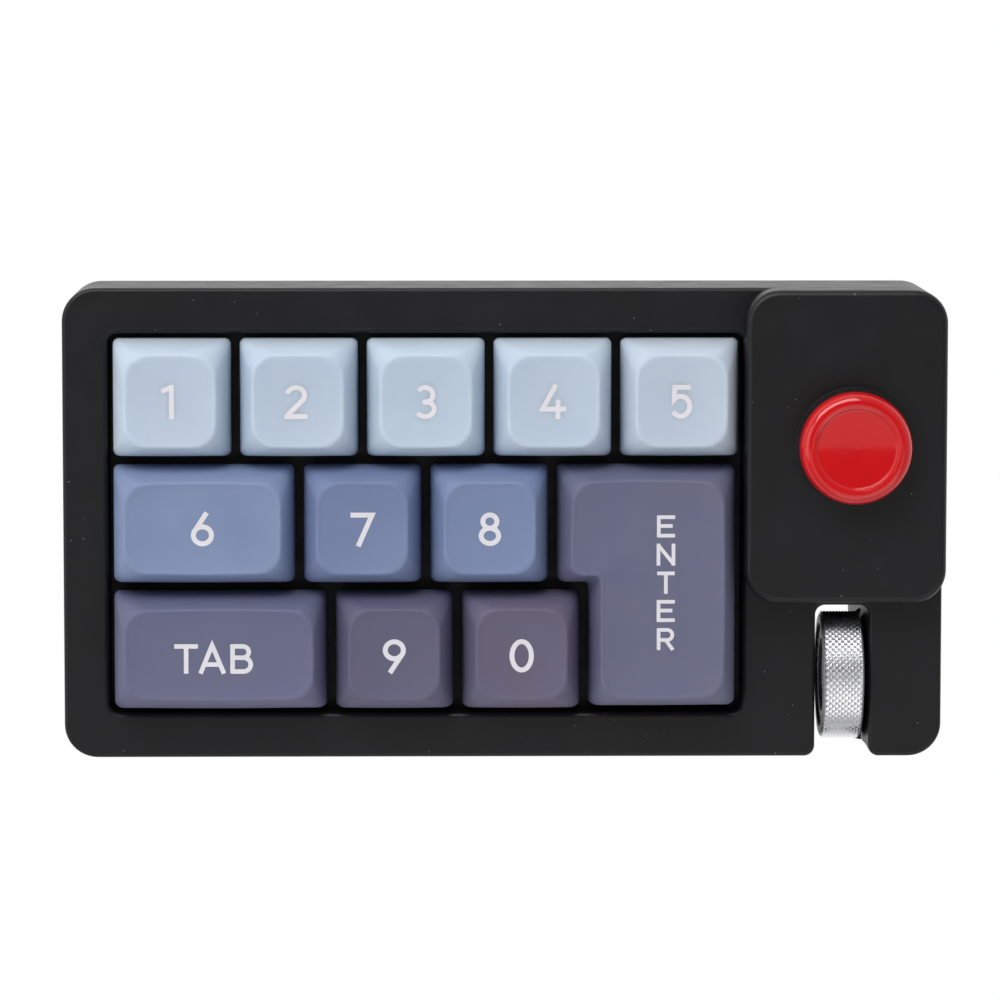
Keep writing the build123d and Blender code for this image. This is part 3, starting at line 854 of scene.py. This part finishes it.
# Knurled wheel ring: diamond pyramids between crossing grooves, with plain rounded shoulders.
knurl = {
    "pitch": 0.94,
    "depth": 0.28,
    "perPitch": 4,
    "shoulder": 0.4,
    "shoulderCurve": ((0.0, 0.75), (0.1, 0.45), (0.3, 0.24)),
    "wall": 1.9,
    "lip": 0.25,
}
ringLow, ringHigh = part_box("wheel_ring")
ringCentre = (ringLow + ringHigh) / 2
ringRadius = (ringHigh.z - ringLow.z) / 2 / mm
ringHalf = (ringHigh.x - ringLow.x) / 2 / mm
around = round(2 * math.pi * ringRadius / knurl["pitch"]) * knurl["perPitch"]
bandHalf = ringHalf - knurl["shoulder"]
across = round(2 * bandHalf / knurl["pitch"] * knurl["perPitch"])


def groove(value):
    offset = value % 1.0
    return min(offset, 1.0 - offset) * 2


def knurlHeight(step, row):
    u = step / knurl["perPitch"]
    v = row / knurl["perPitch"]
    return min(groove(u + v), groove(u - v)) * knurl["depth"]


innerRadius = ringRadius - knurl["wall"]
flank = [(ringHalf - knurl["lip"], innerRadius), (ringHalf, innerRadius + knurl["lip"])]
for inset, drop in knurl["shoulderCurve"]:
    flank.append((ringHalf - inset, ringRadius - drop))
ringRows = []
for x, radius in flank:
    ringRows.append([(-x, radius)] * around)
for row in range(across + 1):
    x = -bandHalf + 2 * bandHalf * row / across
    foot = ringRadius - knurl["depth"]
    ringRows.append([(x, foot + knurlHeight(step, row)) for step in range(around)])
for x, radius in reversed(flank):
    ringRows.append([(x, radius)] * around)
points = []
for row in ringRows:
    for step, (x, radius) in enumerate(row):
        angle = 2 * math.pi * step / around
        points.append(
            ringCentre + Vector((x, radius * math.cos(angle), radius * math.sin(angle))) * mm
        )
# Quads of the knurled band are split along the grooves, and both flanks carry the hub's grey, which is
# painted light on a dark face.
firstBand = len(flank)
faces = []
finishes = []
for row in range(len(ringRows) - 1):
    cell = row - firstBand
    onBand = 0 <= cell < across
    onFlank = row < firstBand - 1 or row > firstBand + across
    for step in range(around):
        a = row * around + step
        b = row * around + (step + 1) % around
        c = b + around
        d = a + around
        if not onBand:
            split = [(a, b, c, d)]
        elif (step + cell + 1) % knurl["perPitch"] == 0:
            split = [(a, b, d), (b, c, d)]
        else:
            split = [(a, b, c), (a, c, d)]
        faces += split
        finishes += [1 if onFlank else 0] * len(split)
ringName = "wheel_ring_knurled"
ringPiece = makePiece(ringName, points, faces, wheelMetal, "wheel", "wheel_ring", smooth=False)
ringPiece.data.materials.append(hubPaintedLightGrey)
ringPiece.data.polygons.foreach_set("material_index", finishes)
print("wheel made")


# Floor, light and camera. Each softbox has its place, what it points at, its two sides and its power.
studio = {
    "floorHalf": 4.0,
    "floorColour": "#f4f4f4",
    "horizon": 0.75,
    "zenith": 0.12,
    "softboxes": {
        "backSoftbox": ((-0.3, 0.8, 0.8), (0, 0, 0.02), 1.0, 0.6, 8.5),
        "leftSoftbox": ((-0.9, 0.1, 0.9), (0, 0, 0.02), 0.8, 0.8, 2.4),
        "frontFill": ((0.3, -0.8, 0.95), (0, 0, 0.02), 1.2, 0.8, 2.2),
        "overheadPanel": ((0.1, -0.54, 1.5), (0.1, -0.54, 0.0), 1.6, 0.83, 2.1),
    },
}


# White paper: matt where it scatters light, and plain white to the camera and in reflections.
def makeFloor():
    mesh = bpy.data.meshes.new("floor")
    half = studio["floorHalf"]
    corners = [(-half, -half, 0), (half, -half, 0), (half, half, 0), (-half, half, 0)]
    mesh.from_pydata(corners, [], [(0, 1, 2, 3)])
    floor = bpy.data.objects.new("floor", mesh)
    bpy.context.scene.collection.objects.link(floor)
    material = bpy.data.materials.new("paperWhiteFloor")
    material.use_nodes = True
    tree = material.node_tree
    shader = tree.nodes["Principled BSDF"]
    shader.inputs["Base Color"].default_value = srgb(studio["floorColour"])
    shader.inputs["Roughness"].default_value = 0.9
    glow = addNode(tree, "ShaderNodeEmission", {"Color": (1, 1, 1, 1), "Strength": 1.0})
    ray = addNode(tree, "ShaderNodeLightPath")
    seen = addNode(
        tree,
        "ShaderNodeMath",
        {0: ray.outputs["Is Camera Ray"], 1: ray.outputs["Is Glossy Ray"]},
        operation="MAXIMUM",
    )
    mix = addNode(
        tree,
        "ShaderNodeMixShader",
        {0: seen.outputs[0], 1: shader.outputs[0], 2: glow.outputs[0]},
    )
    tree.links.new(mix.outputs[0], tree.nodes["Material Output"].inputs["Surface"])
    mesh.materials.append(material)


# The room is paler round the horizon than overhead, where the camera hangs.
def makeWorld(horizon, zenith):
    world = bpy.data.worlds.new("studio")
    world.use_nodes = True
    bpy.context.scene.world = world
    tree = world.node_tree
    room = tree.nodes["Background"]
    room.inputs["Color"].default_value = (1, 1, 1, 1)
    heading = addNode(tree, "ShaderNodeTexCoord").outputs["Generated"]
    split = addNode(tree, "ShaderNodeSeparateXYZ", {0: heading})
    fade = addNode(
        tree,
        "ShaderNodeMapRange",
        {"Value": split.outputs["Z"], "To Min": horizon, "To Max": zenith},
    )
    tree.links.new(fade.outputs["Result"], room.inputs["Strength"])
    paper = addNode(tree, "ShaderNodeBackground", {"Color": (1, 1, 1, 1), "Strength": 1.0})
    ray = addNode(tree, "ShaderNodeLightPath")
    mix = addNode(
        tree,
        "ShaderNodeMixShader",
        {0: ray.outputs["Is Camera Ray"], 1: room.outputs[0], 2: paper.outputs[0]},
    )
    tree.links.new(mix.outputs[0], tree.nodes["World Output"].inputs["Surface"])


def addSoftbox(name, place, aim, wide, tall, power):
    light = bpy.data.lights.new(name, "AREA")
    light.shape = "RECTANGLE"
    light.size = wide
    light.size_y = tall
    light.energy = power
    lamp = bpy.data.objects.new(name, light)
    bpy.context.scene.collection.objects.link(lamp)
    lamp.location = place
    lamp.rotation_euler = (Vector(aim) - Vector(place)).to_track_quat("-Z", "Y").to_euler()


makeFloor()
makeWorld(studio["horizon"], studio["zenith"])
for name, (place, aim, wide, tall, power) in studio["softboxes"].items():
    addSoftbox(name, place, aim, wide, tall, power)

# The camera stands over the keypad, a little to its back and left.
cameraSpot = {
    "place": (-0.01462, 0.0826, 0.8032),
    "turn": (-5.767, -1.029, 0.03),
    "lens": 188.3,
    "sensor": 36.0,
}
cameraData = bpy.data.cameras.new("camera")
cameraData.lens = cameraSpot["lens"]
cameraData.sensor_width = cameraSpot["sensor"]
camera = bpy.data.objects.new("camera", cameraData)
camera.location = cameraSpot["place"]
camera.rotation_euler = [math.radians(angle) for angle in cameraSpot["turn"]]
bpy.context.scene.collection.objects.link(camera)
bpy.context.scene.camera = camera
bpy.context.scene.view_settings.view_transform = "Standard"
print("stage made")

bpy.context.view_layer.update()
